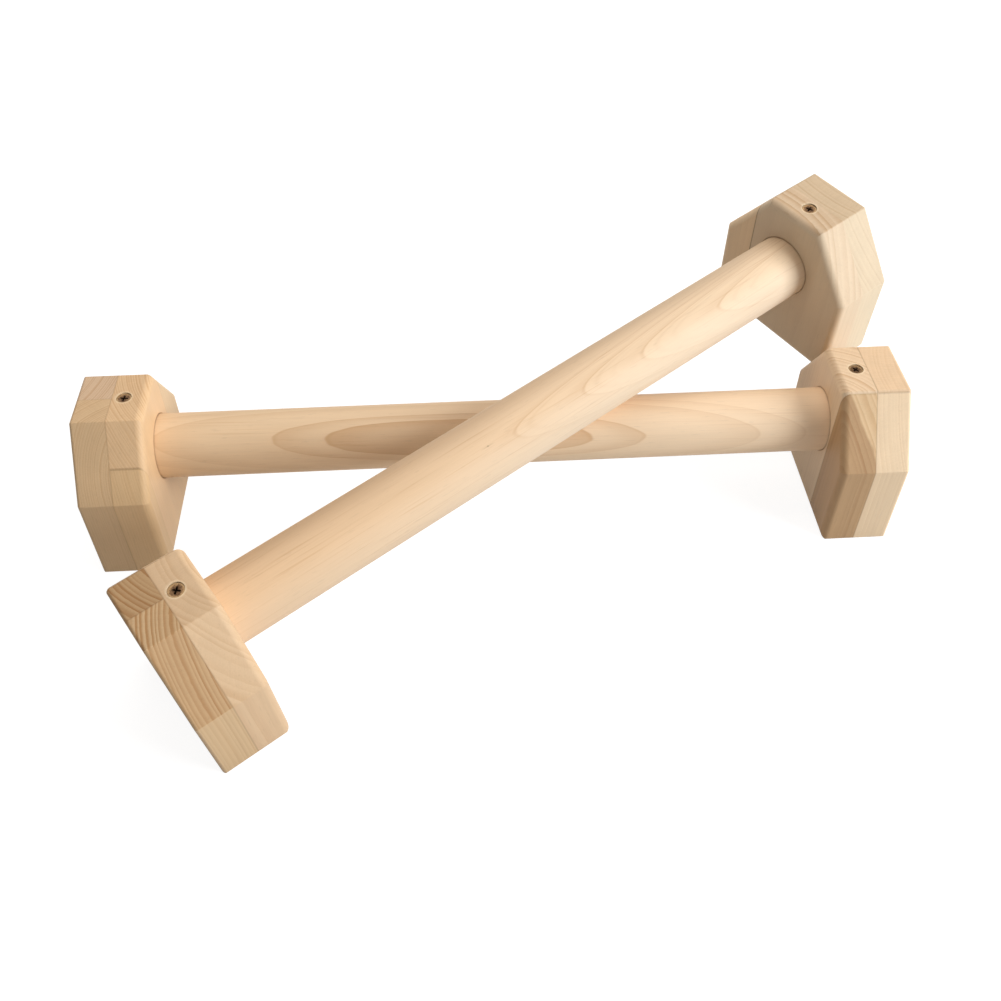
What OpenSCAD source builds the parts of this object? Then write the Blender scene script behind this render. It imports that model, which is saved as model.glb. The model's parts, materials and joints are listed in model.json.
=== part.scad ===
// Pair of wooden parallettes, one bar resting across the other.
// Each bar is a round grip glued into stopped sockets in two foot blocks.
// A block is two layers of hardwood staves, glued edge to edge and then face to face,
// and a countersunk cross-recess screw goes down through it and pins the grip's end.
// Lengths are in millimetres. The floor is z = 0, and the lower bar runs along x.
// The origin lies on the floor, under the middle of the pair's bounding box.

/* [Grip] */
// Diameter of the round grip
grip_d = 40; // [34:1:44]
// Clear length of the grip between its two blocks
clear_span = 414; // [380:2:500]
// Depth to which the grip enters each block
socket_depth = 25; // [22:1:30]
// Chamfer on each end of the grip
grip_chamfer = 1; // [0.5:0.5:2]
// Glue gap round the grip in its socket
glue_gap = 0.1; // [0.05:0.05:0.2]
// Room left beyond the grip's end in its socket
socket_end_gap = 0.3; // [0.1:0.1:0.6]
// Chamfer round the mouth of each socket
mouth_chamfer = 0.5; // [0.3:0.1:1]

/* [Foot blocks] */
// Thickness of a block along the grip
block_t = 42; // [36:1:50]
// Width of a block at its shoulders and base
block_w = 102; // [90:2:120]
// Width of the flat on top of a block
top_w = 42; // [30:2:56]
// Height of a block
block_h = 99; // [90:1:110]
// Height of the shoulders, where the sloped sides begin
shoulder_h = 59; // [45:1:66]
// Height of the grip's axis
axis_h = 59; // [50:1:62]
// Round-over round the face that holds the grip
inner_round = 4.5; // [3:0.5:8]
// Round-over round the outer face
outer_round = 2; // [1:0.5:6]
// Rounding of the long corners between the sides
corner_round = 1; // [1:0.5:3]

/* [Staves] */
// Thickness of the layer on the grip's side
inner_layer_t = 21; // [18:1:24]
// Edge joints of the lower left block's outer layer, from its middle
lower_left_outer_joints = [-1]; // [-40:1:40]
// Edge joints of the lower left block's inner layer, from its middle
lower_left_inner_joints = [-38, 24]; // [-42:1:42]
// Edge joints of the lower right block's outer layer, from its middle
lower_right_outer_joints = [-22]; // [-40:1:40]
// Edge joints of the lower right block's inner layer, from its middle
lower_right_inner_joints = [-22]; // [-40:1:40]
// Edge joints of the upper left block's outer layer, from its middle
upper_left_outer_joints = [-1]; // [-40:1:40]
// Edge joints of the upper left block's inner layer, from its middle
upper_left_inner_joints = [28]; // [-40:1:40]
// Edge joints of the upper right block's outer layer, from its middle
upper_right_outer_joints = [26]; // [-40:1:40]
// Edge joints of the upper right block's inner layer, from its middle
upper_right_inner_joints = [28]; // [-40:1:40]

/* [Screws] */
// Distance from the block's inner face to the screw's axis
screw_inset = 14; // [11:1:16]
// Diameter of the screw's shank
screw_d = 5; // [4:0.5:6]
// Diameter of the screw's head
head_d = 8.6; // [8:0.1:10]
// Height of the straight rim on the head
head_rim = 0.5; // [0.3:0.1:1]
// Length of the screw with its head
screw_l = 45; // [40:1:52]
// Length of the screw's point
point_l = 6; // [4:1:8]
// Depth of the head below the top of the block
head_sink = 0.7; // [0.3:0.1:2]
// Gap round the screw in its hole
screw_gap = 0.1; // [0.05:0.05:0.2]
// Extra radius of the counterbore round the head
counterbore_gap = 0.3; // [0.1:0.1:0.6]
// Length of a wing of the cross recess, tip to tip
recess_l = 4.8; // [4:0.1:5.4]
// Width of a wing of the cross recess
recess_w = 1.1; // [0.8:0.1:1.4]
// Depth of the cross recess
recess_h = 2.2; // [1.5:0.1:2.6]
// Turn of the recess in the lower left screw
lower_left_turn = 10; // [0:5:85]
// Turn of the recess in the lower right screw
lower_right_turn = 40; // [0:5:85]
// Turn of the recess in the upper left screw
upper_left_turn = 45; // [0:5:85]
// Turn of the recess in the upper right screw
upper_right_turn = 20; // [0:5:85]

/* [Resting pose] */
// Angle between the two grips, seen from above
swing = 33.2; // [30:0.1:36]
// Lean of the upper bar about its own grip, towards the front
lean = 6.5; // [3:0.5:8]
// Distance of the far block's front edge from the inner face of the lower right block
touch_x = 15; // [8:1:17]
// Gap between the two grips where they cross
rest_gap = 0.3; // [0.3:0.1:1]
// Gap between the upper bar's far block and the lower bar's right block
block_gap = 0.4; // [0.3:0.1:2]

/* [Hidden] */

$fn = 64;
edge_fn = 32;         // segments of a full circle on the rounded edges
cut = 1;              // overshoot of a cutting shape beyond the wood
cone_angle = 45;      // half angle of the countersink
steps = 10;           // steps used to feel round a rounded edge
settle_steps = 40;    // halvings used to settle the upper bar
steepest = 15;        // steepest rise considered while settling

// Wood and metal tones
straw = [0.91, 0.80, 0.63];
honey = [0.86, 0.71, 0.52];
biscuit = [0.79, 0.62, 0.44];
umber = [0.66, 0.49, 0.33];
bronze = [0.52, 0.40, 0.26];

// A block is drawn with x outwards from its inner face, y to the rear and z up from the grip's axis
base_z = -axis_h;
shoulder_z = shoulder_h - axis_h;
top_z = block_h - axis_h;
outline = [
  [-block_w/2, base_z], [block_w/2, base_z], [block_w/2, shoulder_z],
  [top_w/2, top_z], [-top_w/2, top_z], [-block_w/2, shoulder_z]
];
sides = len(outline);

// Corner i of the outline, counted round it
function corner(i) = outline[(i + sides) % sides];
// Direction of the side that starts at corner i, its length and its outward normal
function run(i) = corner(i + 1) - corner(i);
function along(i) = run(i)/norm(run(i));
function outward(i) = [along(i).y, -along(i).x];
// How far a corner moves out when both of its sides move out by one
function mitre(i) = (outward(i - 1) + outward(i))/(1 + outward(i - 1)*outward(i));

// Outline of a block with its long corners rounded
module block_outline() {
  difference() {
    polygon(outline);
    for (i = [0:sides - 1]) corner_waste(i);
  }
}

// What the rounding takes off corner i: a kite outside the corner's circle
module corner_waste(i) {
  centre = corner(i) - corner_round*mitre(i);
  difference() {
    polygon([
      centre,
      centre + (corner_round + cut)*outward(i - 1),
      corner(i) + cut*mitre(i),
      centre + (corner_round + cut)*outward(i)
    ]);
    translate(centre) circle(corner_round, $fn = edge_fn);
  }
}

// Section of the waste of a round-over: a square corner outside a quarter circle
module cove(r) {
  difference() {
    translate([-cut, -cut]) square(r + cut);
    translate([r, r]) circle(r, $fn = edge_fn);
  }
}

// Waste of the round-over along every side, at the face x = 0
module round_over_waste(r) {
  for (i = [0:sides - 1])
    translate([0, corner(i).x, corner(i).y])
      rotate([atan2(along(i).y, along(i).x), 0, 0])
        translate([0, norm(run(i)) + cut, 0])
          rotate([90, 0, 0])
            linear_extrude(norm(run(i)) + 2*cut) cove(r);
}

// Stopped socket for the grip, its mouth eased by a chamfer
module socket() {
  bore_r = grip_d/2 + glue_gap;
  rotate([0, 90, 0]) {
    translate([0, 0, -cut]) cylinder(r = bore_r, h = cut + socket_depth + socket_end_gap);
    translate([0, 0, -cut])
      cylinder(r1 = bore_r + mouth_chamfer + cut, r2 = bore_r, h = mouth_chamfer + cut);
  }
}

head_cone_h = (head_d - screw_d)/2/tan(cone_angle);
head_z = top_z - head_sink;
shank_bore_r = screw_d/2 + screw_gap;
head_bore_r = head_d/2 + counterbore_gap;
seat_z = head_z - head_rim;
seat_h = (head_bore_r - shank_bore_r)/tan(cone_angle);

// Counterbore, countersink and shank hole for the screw
module screw_hole() {
  translate([screw_inset, 0, seat_z]) cylinder(r = head_bore_r, h = top_z - seat_z + cut);
  translate([screw_inset, 0, seat_z - seat_h]) cylinder(r1 = shank_bore_r, r2 = head_bore_r, h = seat_h);
  translate([screw_inset, 0, head_z - screw_l - cut]) cylinder(r = shank_bore_r, h = screw_l);
}

// Layers of a block: its start, its thickness and the face that gets the round-over
inner_layer = [0, inner_layer_t, inner_round];
outer_layer = [inner_layer_t, block_t - inner_layer_t, outer_round];

// Stave k of a layer, counted from the front, between the layer's edge joints
module stave(layer, joints, k) {
  edges = concat([-block_w/2 - cut], joints, [block_w/2 + cut]);
  is_outer = layer[0] > 0;
  difference() {
    intersection() {
      translate([layer[0], 0, 0])
        rotate([90, 0, 90])
          linear_extrude(layer[1]) block_outline();
      translate([layer[0] - cut, edges[k], base_z - cut])
        cube([layer[1] + 2*cut, edges[k + 1] - edges[k], block_h + 2*cut]);
    }
    if (is_outer) translate([block_t, 0, 0]) mirror([1, 0, 0]) round_over_waste(layer[2]);
    else round_over_waste(layer[2]);
    socket();
    screw_hole();
  }
}

// Round grip with a chamfer and a pilot hole at each end
module grip() {
  half = clear_span/2 + socket_depth;
  difference() {
    rotate([0, 90, 0]) {
      translate([0, 0, grip_chamfer - half]) cylinder(d = grip_d, h = 2*(half - grip_chamfer));
      for (end = [0, 1])
        mirror([0, 0, end])
          translate([0, 0, half - grip_chamfer])
            cylinder(d1 = grip_d, d2 = grip_d - 2*grip_chamfer, h = grip_chamfer);
    }
    right_end() screw_hole();
    left_end() screw_hole();
  }
}

// Cross recess: two crossed wings that narrow with depth
module cross_recess() {
  bottom_l = recess_l/2;
  for (a = [0, 90])
    rotate([90, 0, a])
      translate([0, 0, -recess_w/2])
        linear_extrude(recess_w)
          polygon([
            [-recess_l/2 - cut*(recess_l - bottom_l)/2/recess_h, cut], [-bottom_l/2, -recess_h],
            [bottom_l/2, -recess_h], [recess_l/2 + cut*(recess_l - bottom_l)/2/recess_h, cut]
          ]);
}

// Countersunk screw, its head's top at head_z and its recess turned
module screw(turn) {
  translate([screw_inset, 0, head_z])
    difference() {
      union() {
        translate([0, 0, -head_rim]) cylinder(d = head_d, h = head_rim);
        translate([0, 0, -head_rim - head_cone_h]) cylinder(d1 = screw_d, d2 = head_d, h = head_cone_h);
        translate([0, 0, point_l - screw_l]) cylinder(d = screw_d, h = screw_l - point_l - head_rim);
        translate([0, 0, -screw_l]) cylinder(d1 = screw_d/5, d2 = screw_d, h = point_l);
      }
      rotate([0, 0, turn]) cross_recess();
    }
}

// Places at the two ends of a bar whose middle is at the origin
module right_end() translate([clear_span/2, 0, 0]) children();
module left_end() mirror([1, 0, 0]) translate([clear_span/2, 0, 0]) children();

// Turns about the axes
function about_x(a, v) = [v.x, v.y*cos(a) - v.z*sin(a), v.y*sin(a) + v.z*cos(a)];
function about_y(a, v) = [v.x*cos(a) + v.z*sin(a), v.y, v.z*cos(a) - v.x*sin(a)];
function about_z(a, v) = [v.x*cos(a) - v.y*sin(a), v.x*sin(a) + v.y*cos(a), v.z];
// From the upper bar's own directions to the lower bar's, and back
function turned(rise, v) = about_z(swing, about_y(-rise, about_x(lean, v)));
function unturned(rise, v) = about_x(-lean, about_y(rise, about_z(-swing, v)));
function unit(v) = v/norm(v);

// Reach of a rounded corner in direction d, at angle a round a round-over of radius r
function corner_reach(i, d, r, a) =
  min((corner(i) - r*(1 - cos(a))*mitre(i))*d,
      (corner(i) - corner_round*mitre(i))*d + corner_round*norm(d));
// Reach of a whole bar from its middle in direction d
function reach(d) = max([
  for (end = [-1, 1], i = [0:sides - 1], step = [0:steps])
    let (a = 90*step/steps, side_d = [d.y, d.z])
      max(
        end*(clear_span/2 + inner_round*(1 - sin(a)))*d.x + corner_reach(i, side_d, inner_round, a),
        end*(clear_span/2 + block_t - outer_round*(1 - sin(a)))*d.x + corner_reach(i, side_d, outer_round, a)
      )
]);

// From the lower grip's axis to the upper grip's, where they cross
function over(rise) = (grip_d + rest_gap)*unit(cross([1, 0, 0], turned(rise, [1, 0, 0])));
// Point where a line from a point, in direction d, passes the height of the shoulders
function at_shoulder(point, d) = point + (shoulder_z - point.z)/d.z*d;
// Where the front edge of the far block passes that height, with the crossing at x = 0 and no slide
function edge(rise) =
  at_shoulder(over(rise) + turned(rise, [clear_span/2, -block_w/2, shoulder_z]), turned(rise, [0, 0, 1]));
// How that place moves when the upper bar slides along itself by one
function edge_step(rise) = at_shoulder([0, 0, shoulder_z] + turned(rise, [1, 0, 0]), turned(rise, [0, 0, 1]));
// Slide of the upper bar along itself that brings its far block up to the lower right block
clear_y = block_w/2 + block_gap - inner_round*(cos(swing) + sin(swing) - 1);
function slide(rise) = (edge(rise).y - clear_y)/edge_step(rise).y;
// Distance of the crossing from the middle of the lower grip, which brings that edge to its place
function crossing_x(rise) = clear_span/2 + touch_x - edge(rise).x + slide(rise)*edge_step(rise).x;
function upper_middle(rise) =
  [crossing_x(rise), 0, 0] + over(rise) - slide(rise)*turned(rise, [1, 0, 0]);
// Height of the upper bar's lowest corner over the floor
function lowest(rise) = axis_h + upper_middle(rise).z - reach(unturned(rise, [0, 0, -1]));
// The rise at which that corner stands on the floor, by halving
function settled(low, high, n) =
  let (middle = (low + high)/2)
    n == 0 ? middle : lowest(middle) > 0 ? settled(middle, high, n - 1) : settled(low, middle, n - 1);

rise = settled(0, steepest, settle_steps);
upper_at = upper_middle(rise);

// Middle of the box that holds both bars, from the middle of the lower grip
half_length = clear_span/2 + block_t;
x_max = max(half_length, upper_at.x + reach(unturned(rise, [1, 0, 0])));
x_min = min(-half_length, upper_at.x - reach(unturned(rise, [-1, 0, 0])));
y_max = max(block_w/2, upper_at.y + reach(unturned(rise, [0, 1, 0])));
y_min = min(-block_w/2, upper_at.y - reach(unturned(rise, [0, -1, 0])));
lower_at = [-(x_max + x_min)/2, -(y_max + y_min)/2, axis_h];

module lower_bar() translate(lower_at) children();
module upper_bar() translate(lower_at + upper_at) rotate([lean, -rise, swing]) children();

module lower_grip() color(honey) lower_bar() grip();
module lower_left_outer_front_stave()
  color(honey) lower_bar() left_end() stave(outer_layer, lower_left_outer_joints, 0);
module lower_left_outer_rear_stave()
  color(biscuit) lower_bar() left_end() stave(outer_layer, lower_left_outer_joints, 1);
module lower_left_inner_front_stave()
  color(honey) lower_bar() left_end() stave(inner_layer, lower_left_inner_joints, 0);
module lower_left_inner_middle_stave()
  color(biscuit) lower_bar() left_end() stave(inner_layer, lower_left_inner_joints, 1);
module lower_left_inner_rear_stave()
  color(honey) lower_bar() left_end() stave(inner_layer, lower_left_inner_joints, 2);
module lower_right_outer_front_stave()
  color(straw) lower_bar() right_end() stave(outer_layer, lower_right_outer_joints, 0);
module lower_right_outer_rear_stave()
  color(straw) lower_bar() right_end() stave(outer_layer, lower_right_outer_joints, 1);
module lower_right_inner_front_stave()
  color(umber) lower_bar() right_end() stave(inner_layer, lower_right_inner_joints, 0);
module lower_right_inner_rear_stave()
  color(honey) lower_bar() right_end() stave(inner_layer, lower_right_inner_joints, 1);
module lower_left_screw() color(bronze) lower_bar() left_end() screw(lower_left_turn);
module lower_right_screw() color(bronze) lower_bar() right_end() screw(lower_right_turn);

module upper_grip() color(straw) upper_bar() grip();
module upper_left_outer_front_stave()
  color(honey) upper_bar() left_end() stave(outer_layer, upper_left_outer_joints, 0);
module upper_left_outer_rear_stave()
  color(biscuit) upper_bar() left_end() stave(outer_layer, upper_left_outer_joints, 1);
module upper_left_inner_front_stave()
  color(straw) upper_bar() left_end() stave(inner_layer, upper_left_inner_joints, 0);
module upper_left_inner_rear_stave()
  color(honey) upper_bar() left_end() stave(inner_layer, upper_left_inner_joints, 1);
module upper_right_outer_front_stave()
  color(straw) upper_bar() right_end() stave(outer_layer, upper_right_outer_joints, 0);
module upper_right_outer_rear_stave()
  color(honey) upper_bar() right_end() stave(outer_layer, upper_right_outer_joints, 1);
module upper_right_inner_front_stave()
  color(honey) upper_bar() right_end() stave(inner_layer, upper_right_inner_joints, 0);
module upper_right_inner_rear_stave()
  color(biscuit) upper_bar() right_end() stave(inner_layer, upper_right_inner_joints, 1);
module upper_left_screw() color(bronze) upper_bar() left_end() screw(upper_left_turn);
module upper_right_screw() color(bronze) upper_bar() right_end() screw(upper_right_turn);

lower_grip();
lower_left_outer_front_stave();
lower_left_outer_rear_stave();
lower_left_inner_front_stave();
lower_left_inner_middle_stave();
lower_left_inner_rear_stave();
lower_right_outer_front_stave();
lower_right_outer_rear_stave();
lower_right_inner_front_stave();
lower_right_inner_rear_stave();
lower_left_screw();
lower_right_screw();
upper_grip();
upper_left_outer_front_stave();
upper_left_outer_rear_stave();
upper_left_inner_front_stave();
upper_left_inner_rear_stave();
upper_right_outer_front_stave();
upper_right_outer_rear_stave();
upper_right_inner_front_stave();
upper_right_inner_rear_stave();
upper_left_screw();
upper_right_screw();
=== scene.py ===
# Looks of the pair of wooden parallettes: sanded wood with growth rings, glue lines and bronzed screws.
# Every wood figure is worked out in millimetres in the bar's own directions, so it runs through each piece.
import json
import math

import bpy
from mathutils import Matrix, Vector


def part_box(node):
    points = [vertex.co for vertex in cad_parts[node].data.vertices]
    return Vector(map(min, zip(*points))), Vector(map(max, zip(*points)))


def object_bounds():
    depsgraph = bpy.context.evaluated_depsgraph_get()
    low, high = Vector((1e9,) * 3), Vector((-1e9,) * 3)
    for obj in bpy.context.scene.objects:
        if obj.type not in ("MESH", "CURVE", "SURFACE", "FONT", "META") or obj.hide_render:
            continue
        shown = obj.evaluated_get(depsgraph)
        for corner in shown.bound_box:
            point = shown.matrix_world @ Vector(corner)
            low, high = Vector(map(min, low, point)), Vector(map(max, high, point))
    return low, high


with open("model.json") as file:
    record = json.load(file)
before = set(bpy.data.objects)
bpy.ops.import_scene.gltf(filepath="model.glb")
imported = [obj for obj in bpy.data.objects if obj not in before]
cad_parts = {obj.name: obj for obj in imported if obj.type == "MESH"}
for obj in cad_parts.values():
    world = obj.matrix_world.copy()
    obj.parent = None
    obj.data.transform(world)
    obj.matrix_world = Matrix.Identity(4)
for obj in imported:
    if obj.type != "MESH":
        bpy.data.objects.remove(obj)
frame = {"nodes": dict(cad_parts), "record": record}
cad_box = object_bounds()
MM = 1000

# Camera
IMAGE_SIDE = 1001
FOCAL_PIXELS = 1060.6
SENSOR = 36
CLIP_NEAR = 0.01
CLIP_FAR = 50
CAMERA_AT = Vector((-0.0302, -0.4682, 0.5112))
CAMERA_LOOKS = Vector((0.0418, 0.6911, -0.7216))
CAMERA_UP = Vector((0.0438, 0.7202, 0.6924))


def make_camera():
    data = bpy.data.cameras.new("camera")
    data.sensor_width = SENSOR
    data.lens = SENSOR * FOCAL_PIXELS / IMAGE_SIDE
    data.clip_start = CLIP_NEAR
    data.clip_end = CLIP_FAR
    camera = bpy.data.objects.new("camera", data)
    bpy.context.scene.collection.objects.link(camera)
    back = -CAMERA_LOOKS.normalized()
    right = CAMERA_UP.cross(back).normalized()
    up = back.cross(right)
    camera.matrix_world = Matrix.Translation(CAMERA_AT) @ Matrix((right, up, back)).transposed().to_4x4()
    bpy.context.scene.camera = camera


class Signal:
    """A value or vector in a finish's node tree. Arithmetic on a value adds Math nodes."""

    def __init__(self, finish, socket):
        self.finish = finish
        self.socket = socket

    def math(self, operation, *others):
        return self.finish.math(operation, self, *others)

    def __add__(self, other):
        return self.math("ADD", other)

    def __sub__(self, other):
        return self.math("SUBTRACT", other)

    def __rsub__(self, other):
        return self.finish.math("SUBTRACT", other, self)

    def __mul__(self, other):
        return self.math("MULTIPLY", other)

    def __truediv__(self, other):
        return self.math("DIVIDE", other)

    def __pow__(self, other):
        return self.math("POWER", other)

    def __abs__(self):
        return self.math("ABSOLUTE")

    __radd__ = __add__
    __rmul__ = __mul__


class Finish:
    """The node tree of a material or a world, and the one method that adds any node to it."""

    def __init__(self, owner):
        owner.use_nodes = True
        self.owner = owner
        self.tree = owner.node_tree
        self.tree.nodes.clear()

    def add(self, kind, settings=None, inputs=None, output=0):
        node = self.tree.nodes.new("ShaderNode" + kind)
        for setting, value in (settings or {}).items():
            setattr(node, setting, value)
        for socket, value in (inputs or {}).items():
            if isinstance(value, Signal):
                self.tree.links.new(value.socket, node.inputs[socket])
            else:
                node.inputs[socket].default_value = value
        return Signal(self, node.outputs[output]) if node.outputs else node

    def math(self, operation, *values):
        return self.add("Math", {"operation": operation}, dict(enumerate(values)))

    def step(self, value, low, high):
        """0 at low, 1 at high and smooth between, whichever of the two is larger."""
        settings = {"interpolation_type": "SMOOTHSTEP"}
        return self.add("MapRange", settings, {"Value": value, "From Min": low, "From Max": high})

    def vector(self, x, y, z):
        return self.add("CombineXYZ", {}, {0: x, 1: y, 2: z})

    def dot(self, vector, direction):
        return self.add("VectorMath", {"operation": "DOT_PRODUCT"}, {0: vector, 1: direction}, "Value")

    def noise(self, x, y, z, detail=2.0):
        """Smooth noise about 0, from about -0.5 to 0.5, on coordinates that are already scaled."""
        inputs = {"Vector": self.vector(x, y, z), "Scale": 1.0, "Detail": detail}
        return self.add("TexNoise", {}, inputs) - 0.5

    def mix(self, share, first, second, blend="MIX"):
        """Mixes two colours."""
        settings = {"data_type": "RGBA", "blend_type": blend}
        return self.add("Mix", settings, {0: share, 6: first, 7: second}, 2)

    def bump(self, height, strength, distance):
        return self.add("Bump", {}, {"Height": height, "Strength": strength, "Distance": distance})

    def output(self, shader):
        self.add("OutputMaterial", {}, {"Surface": shader})
        return self.owner


def hypot(x, y):
    """The long side of a right triangle whose other sides are x and y."""
    return (x * x + y * y) ** 0.5


def paint(red, green, blue):
    """A colour given as a screen shows it, from 0 to 255, as the linear colour that a shader takes."""
    linear = [((c / 255 + 0.055) / 1.055) ** 2.4 for c in (red, green, blue)]
    return (*linear, 1)


# The bars' own directions, from the feet they stand on and the grip between them
class Bar:
    """Where a bar lies: its middle and its own x along the grip, y to the rear and z up."""

    def __init__(self, name):
        mounts = {mount["name"]: mount for mount in frame["record"]["mounts"]}
        left = mounts[name + "_left_foot"]
        right = mounts[name + "_right_foot"]
        self.x = (Vector(right["pos_m"]) - Vector(left["pos_m"])).normalized()
        self.z = -Vector(left["axis"]).normalized()
        self.y = self.z.cross(self.x).normalized()
        low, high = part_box(name + "_grip")
        self.middle = (low + high) / 2
        self.inner_face = self.spread(name + "_right_inner_front_stave")[0][0]
        self.block_half = self.spread(name + "_right_outer_rear_stave")[1][1]

    def spread(self, node):
        """Lowest and highest corner of a node in the bar's own directions, in millimetres."""
        points = [vertex.co - self.middle for vertex in frame["nodes"][node].data.vertices]
        spans = [[point.dot(axis) * MM for point in points] for axis in (self.x, self.y, self.z)]
        return [min(span) for span in spans], [max(span) for span in spans]


BARS = {name: Bar(name) for name in ("lower", "upper")}


def bar_of(node):
    """The bar that a node belongs to, and 1 on its right side or -1 on its left."""
    return BARS[node.split("_")[0]], 1 if "_right_" in node else -1


class Place:
    """A finish's coordinates in a bar's own directions, in millimetres, on the surface it is used on."""

    def __init__(self, finish, bar):
        at = finish.add("TexCoord", output="Object")
        away = finish.add("VectorMath", {"operation": "SUBTRACT"}, {0: at, 1: bar.middle})
        self.x, self.y, self.z = (finish.dot(away, axis * MM) for axis in (bar.x, bar.y, bar.z))
        facing = finish.add("TexCoord", output="Normal")
        self.facing_x = finish.dot(facing, bar.x)
        self.facing_z = finish.dot(facing, bar.z)


ACROSS = 0
UP = 1
ALONG = 2


class Grain:
    """A place in a piece of wood: across and up lie across its fibres, and along lies along them."""

    def __init__(self, finish, across, up, along, seed):
        self.finish = finish
        self.across = across
        self.up = up
        self.along = along
        self.seed = seed

    def noise(self, span, seeded, detail=2.0):
        """Noise whose features are as wide and as long as `span` says, in millimetres. `seeded` is the
        coordinate that the seed moves: ACROSS, UP or ALONG."""
        width, length = span
        places = [self.across / width, self.up / width, self.along / length]
        places[seeded] = places[seeded] + self.seed
        return self.finish.noise(*places, detail)


# What late wood, heartwood and end grain take from the wood's colour, and the painted floor bounce light that
# makes a grip's underside paler and bluer
LATE_SHARE = (0.72, 0.58, 0.44, 1)
HEART_SHARE = (0.56, 0.46, 0.38, 1)
END_SHARE = (0.69, 0.53, 0.39, 1)
FLOOR_BOUNCE_SHARE = (1, 1.08, 1.2, 1)

# The colour of the glue lines, also used for the painted shade in the gap where a grip enters a block
GLUE_AND_GAP_SHADE = paint(120, 88, 56)
BORE_RIM = paint(250, 228, 190)
RESIN = paint(112, 78, 50)

# Widths and lengths of what the wood shows, in millimetres across its fibres and along them
DRIFT_SPAN = (60, 190)
RIPPLE_SPAN = (4, 50)
CLOUD_SPAN = (12, 110)
FIBRE_SPAN = (0.7, 22)
PORE_SPAN = (0.9, 7)

# How far the rings stray in millimetres, and how uneven and how rippled they are, counted in rings
RING_DRIFT = 4
UNEVEN_SPAN = 2.6
UNEVEN_RINGS = 2.2
RIPPLE_RINGS = 0.22

# Where late wood starts within a ring and where it is darkest, how strong it is in the palest year, and how
# much a run of dark years adds to it
LATE_START = 0.15
LATE_PEAK = 0.9
PALEST_YEAR = 0.2
DARK_RUN = 2
DARK_RUN_ADDS = 0.4

# Rays on end grain: how finely they divide a turn round the pith, and their length and height in millimetres
RAY_FINENESS = 130
RAY_LENGTH = 9
RAY_HEIGHT = 12

# How squarely a surface faces along the fibres, or along the bar, where it starts to count and counts in full
STAVE_END_FACING = (0.35, 0.9)
GRIP_END_FACING = (0.25, 0.85)
INNER_FACE_FACING = (0.2, 0.7)


def ring_pattern(grain, board):
    """Late wood, from 0 to 1, with the distance from the pith and the rays that run out from it."""
    finish = grain.finish
    seed = board.seed
    from_pith_x = grain.across - board.pith[0] + grain.noise(DRIFT_SPAN, ACROSS, detail=1) * RING_DRIFT
    from_pith_y = grain.up - board.pith[1] + grain.noise(DRIFT_SPAN, UP, detail=1) * RING_DRIFT
    radius = hypot(from_pith_x, from_pith_y)
    uneven = finish.noise(radius / (UNEVEN_SPAN * board.width), seed, 0, 1) * UNEVEN_RINGS
    ripple = grain.noise(RIPPLE_SPAN, ALONG) * RIPPLE_RINGS
    count = radius / board.width + uneven + ripple
    ring = count.math("FLOOR")
    part = count - ring
    late = finish.step(part, LATE_START, LATE_PEAK) * finish.step(part, 1.0, LATE_PEAK)
    strength = finish.add("TexWhiteNoise", {"noise_dimensions": "1D"}, {"W": ring + seed})
    years = finish.noise(radius / (DARK_RUN * board.width), seed + 7, 0, 1)
    late = late * (PALEST_YEAR + (1 - PALEST_YEAR) * strength)
    late = late + finish.step(years, 0.02, 0.3) * DARK_RUN_ADDS
    angle = from_pith_y.math("ARCTAN2", from_pith_x)
    rays = finish.noise(angle * RAY_FINENESS, radius / RAY_LENGTH, grain.along / RAY_HEIGHT, 1)
    return late.math("MINIMUM", 1), radius, rays


def shares(finish, colour, amount, share):
    """A colour multiplied by a share of itself, as far as `amount` says."""
    return finish.mix(amount.math("MINIMUM", 1), colour, share, "MULTIPLY")


def bare_wood(grain, colour, late, rays, end_grain, dent):
    """Sanded wood without varnish: fibres, pores and rays over a colour that has its rings."""
    finish = grain.finish
    broad = grain.noise(CLOUD_SPAN, ACROSS)
    fibre = grain.noise(FIBRE_SPAN, UP)
    pores = finish.step(grain.noise(PORE_SPAN, UP, detail=0), 0.19, 0.30)
    shade = 1 + broad * 0.14 + fibre * 0.09 + rays * end_grain * 0.12 - pores * 0.05
    height = fibre * 0.5 - late * 0.6 + rays * end_grain * 0.4 - dent * 3
    inputs = {
        "Base Color": finish.mix(1.0, colour, shade, "MULTIPLY"),
        "Roughness": 0.56 + fibre * 0.10 + end_grain * 0.08 - late * 0.08 + dent * 0.1,
        "Normal": finish.bump(height, 0.35, 0.00015),
        "Specular IOR Level": 0.3,
    }
    return finish.output(finish.add("BsdfPrincipled", {}, inputs))


class Board:
    """The wood of a stave. Its pith is given outwards from the block's inner face and to the rear of its
    middle, and `width` is a growth ring's. `rings` and `end_rings` tell how strongly the rings show along
    the fibres and how much more on end grain, `end_depth` how dark end grain is and `slope_depth` how dark
    the sawn slopes are. `seam` and `joint` tell how dark the glue lines are, and `face_joint` how dark a
    joint is on the face that holds the grip, where it differs there. `heart` is the radius of the dark
    heartwood, where it shows."""

    def __init__(self, colour, pith, width, seed, rings, end_rings, end_depth=0.0, slope_depth=0.0,
                 seam=0.3, joint=0.2, face_joint=None, heart=None):
        self.colour = paint(*colour)
        self.pith = pith
        self.width = width
        self.seed = seed
        self.rings = rings
        self.end_rings = end_rings
        self.end_depth = end_depth
        self.slope_depth = slope_depth
        self.seam = seam
        self.joint = joint
        self.face_joint = joint if face_joint is None else face_joint
        self.heart = heart


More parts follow.
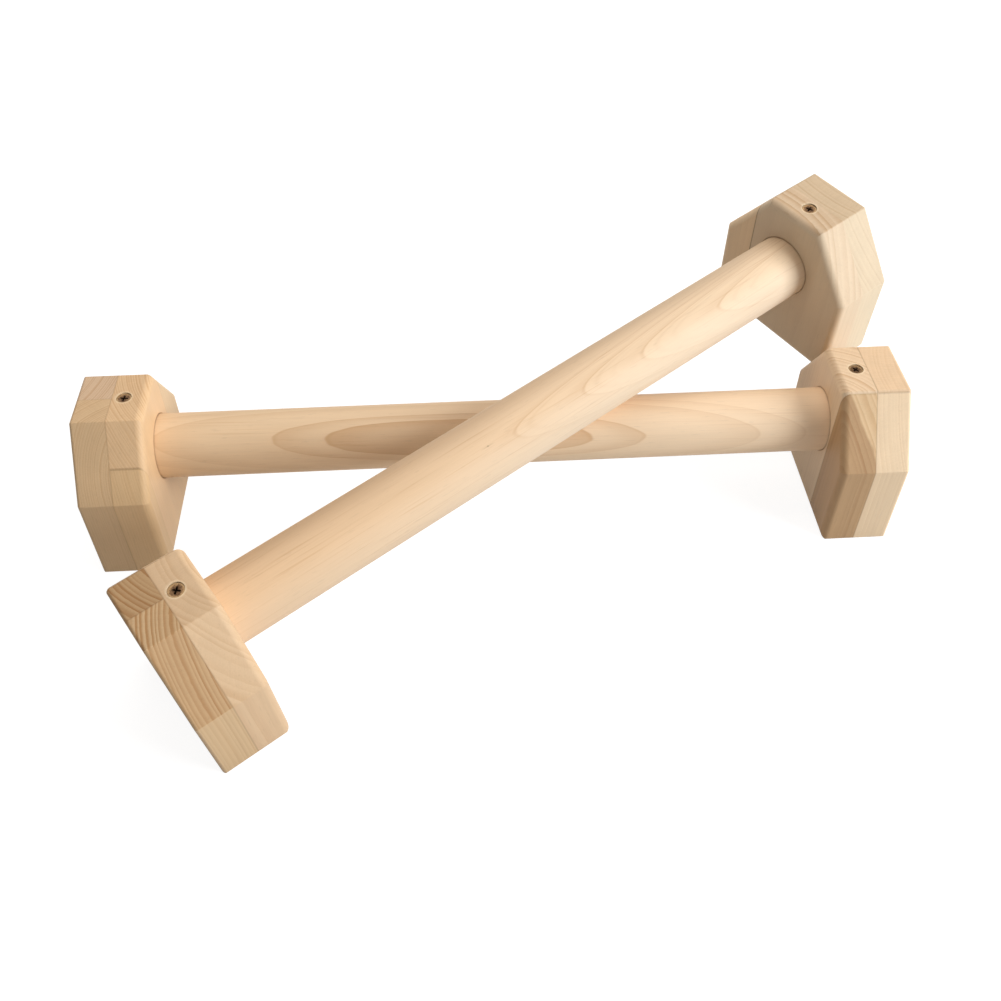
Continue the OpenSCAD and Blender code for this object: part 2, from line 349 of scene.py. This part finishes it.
STAVES = {
    "lower_left_outer_front_stave": Board(
        (214, 180, 138), pith=(0, -43), width=1.5, seed=1.3,
        rings=0.15, end_rings=0.5, seam=0.3, joint=0.15),
    "lower_left_outer_rear_stave": Board(
        (216, 184, 150), pith=(95, 30), width=1.4, seed=2.9,
        rings=0.12, end_rings=0.5, seam=0.2, joint=0.15),
    "lower_left_inner_front_stave": Board(
        (221, 185, 139), pith=(-60, -20), width=1.6, seed=3.1,
        rings=0.12, end_rings=0.3, seam=0.3, joint=0.5, face_joint=0.12),
    "lower_left_inner_middle_stave": Board(
        (226, 189, 145), pith=(-70, 40), width=1.5, seed=4.7,
        rings=0.1, end_rings=0.5, seam=0.25, joint=0.5, face_joint=0.12),
    "lower_left_inner_rear_stave": Board(
        (221, 189, 148), pith=(-50, 10), width=1.8, seed=5.2,
        rings=0.16, end_rings=0.4, seam=0.1, joint=0.3, face_joint=0.12),
    "lower_right_outer_front_stave": Board(
        (237, 208, 171), pith=(140, -20), width=2.6, seed=6.4,
        rings=0.14, end_rings=0.1, seam=0.35, joint=0.25),
    "lower_right_outer_rear_stave": Board(
        (229, 196, 158), pith=(120, -10), width=2.8, seed=7.7,
        rings=0.16, end_rings=0.12, seam=0.4, joint=0.25),
    "lower_right_inner_front_stave": Board(
        (227, 194, 151), pith=(-100, -106), width=3.0, seed=8.1,
        rings=0.35, end_rings=0.5, end_depth=0.2, seam=0.4, joint=0.2, heart=135),
    "lower_right_inner_rear_stave": Board(
        (237, 209, 174), pith=(-15, -37), width=3.2, seed=9.6,
        rings=0.2, end_rings=0.5, end_depth=0.2, seam=0.4, joint=0.2),
    "upper_left_outer_front_stave": Board(
        (209, 176, 134), pith=(-52, -50), width=2.3, seed=10.5,
        rings=0.45, end_rings=1.4, end_depth=0.12, slope_depth=0.36, seam=0.35, joint=0.3),
    "upper_left_outer_rear_stave": Board(
        (187, 151, 109), pith=(-25, 30), width=2.7, seed=11.8,
        rings=0.5, end_rings=0.8, seam=0.2, joint=0.3),
    "upper_left_inner_front_stave": Board(
        (218, 184, 145), pith=(-35, 10), width=3.8, seed=12.2,
        rings=0.25, end_rings=0.25, seam=0.35, joint=0.1),
    "upper_left_inner_rear_stave": Board(
        (231, 198, 157), pith=(-40, 25), width=3.6, seed=13.9,
        rings=0.2, end_rings=0.05, seam=0.35, joint=0.1),
    "upper_right_outer_front_stave": Board(
        (221, 201, 170), pith=(130, 5), width=3.6, seed=14.4,
        rings=0.1, end_rings=0.35, end_depth=0.45, seam=0, joint=0),
    "upper_right_outer_rear_stave": Board(
        (221, 201, 170), pith=(110, 15), width=3.4, seed=15.6,
        rings=0.1, end_rings=0.35, end_depth=0.45, seam=0, joint=0),
    "upper_right_inner_front_stave": Board(
        (222, 199, 168), pith=(-90, 8), width=4.6, seed=16.1,
        rings=0.1, end_rings=0.65, end_depth=0.35, seam=0, joint=0.4, face_joint=0.7),
    "upper_right_inner_rear_stave": Board(
        (241, 211, 172), pith=(-40, 60), width=3.0, seed=17.5,
        rings=0.1, end_rings=0.45, end_depth=0.5, seam=0, joint=0.4, face_joint=0.7),
}

# Sizes on a block, in millimetres
GRIP_R = 20
SCREW_INSET = 14
BORE_R = 4.6
BORE_RIM_WIDTH = 1.4
TOP_FROM_GRIP = 38
TOP_FADE = 8
GLUE_HALF = 0.65
GLUE_PATCH = 30
# How wide the painted shade in the gap round a grip is
SOCKET_SHADE_WIDTH = 0.9
HEART_EDGE_SPAN = (12, 60)
HEART_EDGE_STRAYS = 5

# How strong the heartwood and the pale rim of a screw's hole are, and the painted shade in the gap round a
# grip, on the block and on the grip
HEART_STRENGTH = 0.75
BORE_RIM_STRENGTH = 0.35
SOCKET_SHADE_STRENGTH = 0.3
GRIP_END_SHADE_STRENGTH = 0.25


def board_colour(grain, board, late, radius, end_grain):
    """The colour of a stave's wood, with its rings, heartwood, end grain and sawn slopes."""
    finish = grain.finish
    colour = shares(finish, board.colour, late * (board.rings + board.end_rings * end_grain), LATE_SHARE)
    if board.heart:
        width, length = HEART_EDGE_SPAN
        ragged = finish.noise(grain.across / width, grain.up / width, grain.along / length)
        inside = finish.step(radius + ragged * HEART_EDGE_STRAYS, board.heart + 1, board.heart - 1)
        colour = shares(finish, colour, inside * HEART_STRENGTH, HEART_SHARE)
    slope = end_grain * (1 - end_grain) * 4
    return shares(finish, colour, end_grain * board.end_depth + slope * board.slope_depth, END_SHARE)


def line(finish, aside, half):
    """1 on a line and 0 beyond its half width."""
    return finish.step(abs(aside), half, half * 0.2)


def glue_lines(finish, place, out, node):
    """How dark the glue is where a stave meets its neighbours, patchy as glue lines are."""
    bar = bar_of(node)[0]
    board = STAVES[node]
    low, high = bar.spread(node)
    ends = sorted((abs(low[0]), abs(high[0])))
    seam = ends[0 if "_outer_" in node else 1] - bar.inner_face
    glue = line(finish, out - seam, GLUE_HALF) * board.seam
    on_face = finish.step(abs(place.facing_x), *INNER_FACE_FACING)
    darkness = board.joint + on_face * (board.face_joint - board.joint)
    for edge in (low[1], high[1]):
        if abs(edge) < bar.block_half - 1:
            glue = glue.math("MAXIMUM", line(finish, place.y - edge, GLUE_HALF) * darkness)
    patchy = 0.85 + finish.noise(place.x / GLUE_PATCH, place.y / GLUE_PATCH, place.z / GLUE_PATCH, 1)
    return (glue * patchy).math("MINIMUM", 1)


def bore_rim(finish, place, out):
    """1 on the pale ring round the screw's hole, on top of the block."""
    from_screw = hypot(out - SCREW_INSET, place.y)
    ring = finish.step(from_screw, BORE_R + BORE_RIM_WIDTH, BORE_R + 0.3)
    return ring * finish.step(place.z, TOP_FROM_GRIP - TOP_FADE, TOP_FROM_GRIP)


def socket_gap_shade(finish, place, out):
    """1 where shade is painted in the gap round the grip, on the block's inner face."""
    from_axis = hypot(place.y, place.z)
    return finish.step(from_axis, GRIP_R + SOCKET_SHADE_WIDTH, GRIP_R + 0.4) * finish.step(out, 3, 1)


def stave_finish(node):
    """Wood of one stave, with the glue lines on the sides that meet its neighbours."""
    bar, side = bar_of(node)
    board = STAVES[node]
    finish = Finish(bpy.data.materials.new(node + "_wood"))
    place = Place(finish, bar)
    out = place.x * side - bar.inner_face
    grain = Grain(finish, out, place.y, place.z, board.seed)
    end_grain = finish.step(abs(place.facing_z), *STAVE_END_FACING)
    late, radius, rays = ring_pattern(grain, board)
    colour = board_colour(grain, board, late, radius, end_grain)
    glue = glue_lines(finish, place, out, node)
    # Painted shade in the gap round the grip, in the glue's colour
    gap_shade = socket_gap_shade(finish, place, out)
    colour = finish.mix(glue, colour, GLUE_AND_GAP_SHADE)
    colour = finish.mix(bore_rim(finish, place, out) * BORE_RIM_STRENGTH, colour, BORE_RIM)
    colour = finish.mix(gap_shade * SOCKET_SHADE_STRENGTH, colour, GLUE_AND_GAP_SHADE)
    return bare_wood(grain, colour, late, rays, end_grain, dent=glue * 0.5 + gap_shade * 0.3)


class Ring:
    """A ring of a grip's figure: its level, the strengths of its edge and of its fill, how far the fill
    fades, inwards if negative, and how soft the edge is."""

    def __init__(self, level, edge, fill, fade, soft):
        self.level = level
        self.edge = edge
        self.fill = fill
        self.fade = fade
        self.soft = soft


class Figure:
    """The figure of a round grip, drawn by rings cut flattest on one line along it.

    The line lies at `angle` from the grip's top, in degrees, and turns by `turn` over each millimetre.
    `level` gives the rings' field from the place along the grip and the distance sideways from that line.
    `low_side` is the strength that is left of a ring under the line, `wander` how far the rings stray and
    `streaks` how strong the thin streaks are. `near` and `far` are the colours at the left and right end,
    and the flag after `seed` tells whether the underside has painted floor bounce light, paler and bluer.
    `resin` gives the places along the grip and the angles of the small resin streaks."""

    def __init__(self, angle, turn, level, rings, low_side, wander, streaks, near, far, seed,
                 painted_floor_bounce=False, resin=()):
        self.angle = math.radians(angle)
        self.turn = math.radians(turn)
        self.level = level
        self.rings = rings
        self.low_side = low_side
        self.wander = wander
        self.streaks = streaks
        self.near = paint(*near)
        self.far = paint(*far)
        self.seed = seed
        self.painted_floor_bounce = painted_floor_bounce
        self.resin = resin


def ellipses(along, sideways):
    """Long ellipses round the place where a ring just touches the surface."""
    middle = -23
    return 0.0005 * (along - middle) ** 2 + 0.025 * sideways ** 2


def flames(along, sideways):
    """Blunt tongues that open to the right, and wider below their middle line than above it."""
    return sideways * sideways * 0.34 + sideways * abs(sideways) * 0.14 - along


GRIPS = {
    "lower": Figure(
        angle=-58, turn=-0.09, level=ellipses, low_side=0.8, wander=1.2, streaks=0.25,
        near=(234, 201, 161), far=(248, 217, 181), seed=21.3,
        rings=[
            Ring(3.4, edge=0.15, fill=0.6, fade=-3.4, soft=0.2),
            Ring(6.4, edge=0.15, fill=0.38, fade=-2.6, soft=0.2),
            Ring(17, edge=0.1, fill=0.2, fade=-6, soft=0.3),
            Ring(23, edge=0.1, fill=0.15, fade=-5, soft=0.3),
        ]),
    "upper": Figure(
        angle=-36, turn=0, level=flames, low_side=0.35, wander=9, streaks=0.4,
        near=(227, 190, 149), far=(236, 207, 172), seed=22.8, painted_floor_bounce=True, resin=[(-38.6, -30.3)],
        rings=[
            Ring(21, edge=0.25, fill=0.2, fade=22, soft=2),
            Ring(10, edge=0.15, fill=0, fade=20, soft=3),
            Ring(-29, edge=0.25, fill=0.24, fade=24, soft=2),
            Ring(-39, edge=0.15, fill=0, fade=20, soft=3),
            Ring(-52, edge=0.1, fill=0, fade=20, soft=3),
            Ring(-74, edge=0.25, fill=0.24, fade=26, soft=2),
            Ring(-85, edge=0.15, fill=0, fade=20, soft=3),
            Ring(-99, edge=0.1, fill=0, fade=20, soft=3),
            Ring(-137, edge=0.25, fill=0.24, fade=30, soft=2),
            Ring(-150, edge=0.12, fill=0, fade=20, soft=3),
            Ring(-166, edge=0.1, fill=0, fade=20, soft=3),
        ]),
}

# The way that the painted floor bounce light on a grip's underside faces, from the grip's top towards the
# rear
FLOOR_BOUNCE_ANGLE = math.radians(-120)

# On a grip: how wide and long its rings' wander and its streaks are, in millimetres, how wide the band is
# over which the rings fade to the low side, and how many rays a millimetre of its end shows
WANDER_SPAN = (14, 60)
STREAK_SPAN = (1.3, 70)
LOW_SIDE_BAND = (-6, 3)
GRIP_RAYS = 3


def drawn_rings(finish, level, rings):
    """The late wood of a figure's rings, the strongest of them at each place."""
    late = None
    for ring in rings:
        beyond = ring.level - math.copysign(ring.soft, ring.fade)
        fill = finish.step(level, ring.level + ring.fade, ring.level) * finish.step(level, beyond, ring.level)
        thin = finish.step(abs(level - ring.level), 1.5 * ring.soft, 0)
        drawn = fill * ring.fill + thin * ring.edge
        late = drawn if late is None else late.math("MAXIMUM", drawn)
    return late


def grip_late_wood(finish, place, around, figure):
    """Late wood of a grip's figure and of the thin streaks along it."""
    sideways = (around - (place.x * figure.turn + figure.angle)) * GRIP_R
    over = finish.step(sideways, *LOW_SIDE_BAND)
    width, length = WANDER_SPAN
    wander = finish.noise(place.x / length, sideways / width + figure.seed, 0) * figure.wander
    late = drawn_rings(finish, figure.level(place.x, sideways) + wander, figure.rings)
    late = late * (figure.low_side + (1 - figure.low_side) * over)
    width, length = STREAK_SPAN
    streak = finish.noise(place.x / length, sideways / width + figure.seed, 0)
    return late + finish.step(streak, 0.05, 0.3) * figure.streaks


def resin_streak(finish, along, aside):
    """A thin dark thread along the fibres with a small fleck on its middle, from 0 to 1."""
    thread = finish.step(abs(along), 6, 1) * finish.step(abs(aside), 0.6, 0.1)
    fleck = finish.step(hypot(along, aside * 1.6), 1.0, 0.5)
    return (thread * 0.2).math("MAXIMUM", fleck * 0.45)


def grip_finish(name):
    """Wood of a round grip, its fibres along the bar."""
    bar = BARS[name]
    figure = GRIPS[name]
    finish = Finish(bpy.data.materials.new(name + "_grip_wood"))
    place = Place(finish, bar)
    grain = Grain(finish, place.y, place.z, place.x, figure.seed)
    around = place.y.math("ARCTAN2", place.z)
    reach = bar.inner_face
    colour = finish.mix(finish.step(place.x, -reach, reach), figure.near, figure.far)
    # Painted light: the underside is made paler and bluer, as light bounced up from the white floor
    if figure.painted_floor_bounce:
        towards = place.y * math.sin(FLOOR_BOUNCE_ANGLE) + place.z * math.cos(FLOOR_BOUNCE_ANGLE)
        colour = shares(finish, colour, finish.step(towards, 0, GRIP_R), FLOOR_BOUNCE_SHARE)
    late = grip_late_wood(finish, place, around, figure)
    colour = shares(finish, colour, late, LATE_SHARE)
    for along, angle in figure.resin:
        aside = (around - math.radians(angle)) * GRIP_R
        colour = finish.mix(resin_streak(finish, place.x - along, aside), colour, RESIN)
    # Painted shade in the gap where the grip enters each block, in the glue's colour
    grip_end_shade = finish.step(abs(place.x), reach - 0.8, reach - 0.1)
    colour = finish.mix(grip_end_shade * GRIP_END_SHADE_STRENGTH, colour, GLUE_AND_GAP_SHADE)
    end_grain = finish.step(abs(place.facing_x), *GRIP_END_FACING)
    rays = finish.noise(place.y * GRIP_RAYS, place.z * GRIP_RAYS, place.x / RAY_HEIGHT, 1)
    return bare_wood(grain, colour, late, rays, end_grain, dent=grip_end_shade * 0.2)


# A screw's bronze where it is dark and light, its worn rim and the painted shade inside its recess
BRONZE_DARK = paint(84, 61, 44)
BRONZE_LIGHT = paint(124, 97, 69)
BRONZE_WORN = paint(184, 154, 112)
BRONZE_RECESS_SHADE = paint(46, 32, 25)


def screw_finish(node):
    """Bronzed steel, rubbed brighter on the head's rim, with painted shade inside the cross recess and over
    the head's middle.
    """
    bar, side = bar_of(node)
    finish = Finish(bpy.data.materials.new(node + "_bronze"))
    place = Place(finish, bar)
    head_top = bar.spread(node)[1][2]
    depth = head_top - place.z
    from_axis = hypot(place.x * side - bar.inner_face - SCREW_INSET, place.y)
    cloud = finish.noise(place.x * 0.9, place.y * 0.9, place.z * 0.9, 3)
    grit = finish.noise(place.x * 6, place.y * 6, place.z * 6, 2)
    worn = finish.step(from_axis + cloud * 1.5, 2.8, 4.0) * finish.step(depth, 0.4, 0.1)
    # Painted shade: darker deeper in the cross recess and over the middle of the head
    inside = finish.step(depth, 0.15, 1.2) * finish.step(from_axis, 3.6, 3.0)
    inside = inside.math("MAXIMUM", finish.step(from_axis + cloud, 2.6, 1.2) * 0.6)
    colour = finish.mix(finish.step(cloud, -0.2, 0.25), BRONZE_DARK, BRONZE_LIGHT)
    colour = finish.mix(worn * 0.5, colour, BRONZE_WORN)
    inputs = {
        "Base Color": finish.mix(inside * 0.8, colour, BRONZE_RECESS_SHADE),
        "Metallic": 1.0,
        "Roughness": 0.42 + cloud * 0.25 + inside * 0.3,
        "Normal": finish.bump(grit + cloud * 2, 0.3, 0.0001),
    }
    return finish.output(finish.add("BsdfPrincipled", {}, inputs))


def dress(node, material):
    """Gives a CAD node its one material."""
    slots = frame["nodes"][node].data.materials
    slots.clear()
    slots.append(material)


# The plain studio
WHITE = (1, 1, 1, 1)
FLOOR_HALF = 12
FLOOR_SHARE = 0.30
GLOW = 0.89
BOUNCE = 0.60
AMBIENT = 0.25
AMBIENT_TONE = (1.0, 0.98, 0.97, 1)


def seen_directly(finish):
    """1 where the camera, or a mirror or a clear thing, looks at the surface."""
    kinds = ("Camera", "Glossy", "Transmission")
    camera, mirror, clear = (finish.add("LightPath", output="Is " + kind + " Ray") for kind in kinds)
    return camera.math("MAXIMUM", mirror).math("MAXIMUM", clear)


def make_floor():
    """A floor that glows white to the camera, keeps the shadows and bounces some light."""
    half = FLOOR_HALF
    mesh = bpy.data.meshes.new("studio_floor")
    corners = [(-half, -half, 0), (half, -half, 0), (half, half, 0), (-half, half, 0)]
    mesh.from_pydata(corners, [], [(0, 1, 2, 3)])
    floor = bpy.data.objects.new("studio_floor", mesh)
    bpy.context.scene.collection.objects.link(floor)
    finish = Finish(bpy.data.materials.new("studio_floor"))
    lit = finish.add("BsdfDiffuse", {}, {"Color": (FLOOR_SHARE, FLOOR_SHARE, FLOOR_SHARE, 1)})
    glow = finish.add("Emission", {}, {"Color": WHITE, "Strength": GLOW})
    shown = finish.add("AddShader", {}, {0: lit, 1: glow})
    bounce = finish.add("BsdfDiffuse", {}, {"Color": (BOUNCE, BOUNCE, BOUNCE, 1)})
    shader = finish.add("MixShader", {}, {0: seen_directly(finish), 1: bounce, 2: shown})
    mesh.materials.append(finish.output(shader))


def make_world():
    """White to the camera, and a weak even light for everything else."""
    world = bpy.data.worlds.new("studio")
    bpy.context.scene.world = world
    finish = Finish(world)
    white = finish.add("Background", {}, {"Color": WHITE, "Strength": 1.0})
    ambient = finish.add("Background", {}, {"Color": AMBIENT_TONE, "Strength": AMBIENT})
    shader = finish.add("MixShader", {}, {0: seen_directly(finish), 1: ambient, 2: white})
    finish.add("OutputWorld", {}, {"Surface": shader})


def softbox(name, direction, distance, side, power, colour):
    """A square soft light that shines on the pair from a direction."""
    light = bpy.data.lights.new(name, "AREA")
    light.size = side
    light.energy = power
    light.color = colour
    lamp = bpy.data.objects.new(name, light)
    bpy.context.scene.collection.objects.link(lamp)
    direction = Vector(direction).normalized()
    lamp.location = (cad_box[0] + cad_box[1]) / 2 + direction * distance
    lamp.rotation_euler = direction.to_track_quat("Z", "Y").to_euler()


make_camera()
make_world()
make_floor()
softbox("key", (0.90, -0.37, 0.45), distance=2.5, side=1.4, power=65, colour=(0.94, 1, 1.07))
softbox("overhead", (0, 0.5, 1), distance=1.6, side=1.4, power=12.2, colour=(1.06, 1, 0.94))

for node in STAVES:
    dress(node, stave_finish(node))
for name in GRIPS:
    dress(name + "_grip", grip_finish(name))
for node in frame["nodes"]:
    if node.endswith("_screw"):
        dress(node, screw_finish(node))

bpy.context.scene.view_settings.view_transform = "Standard"
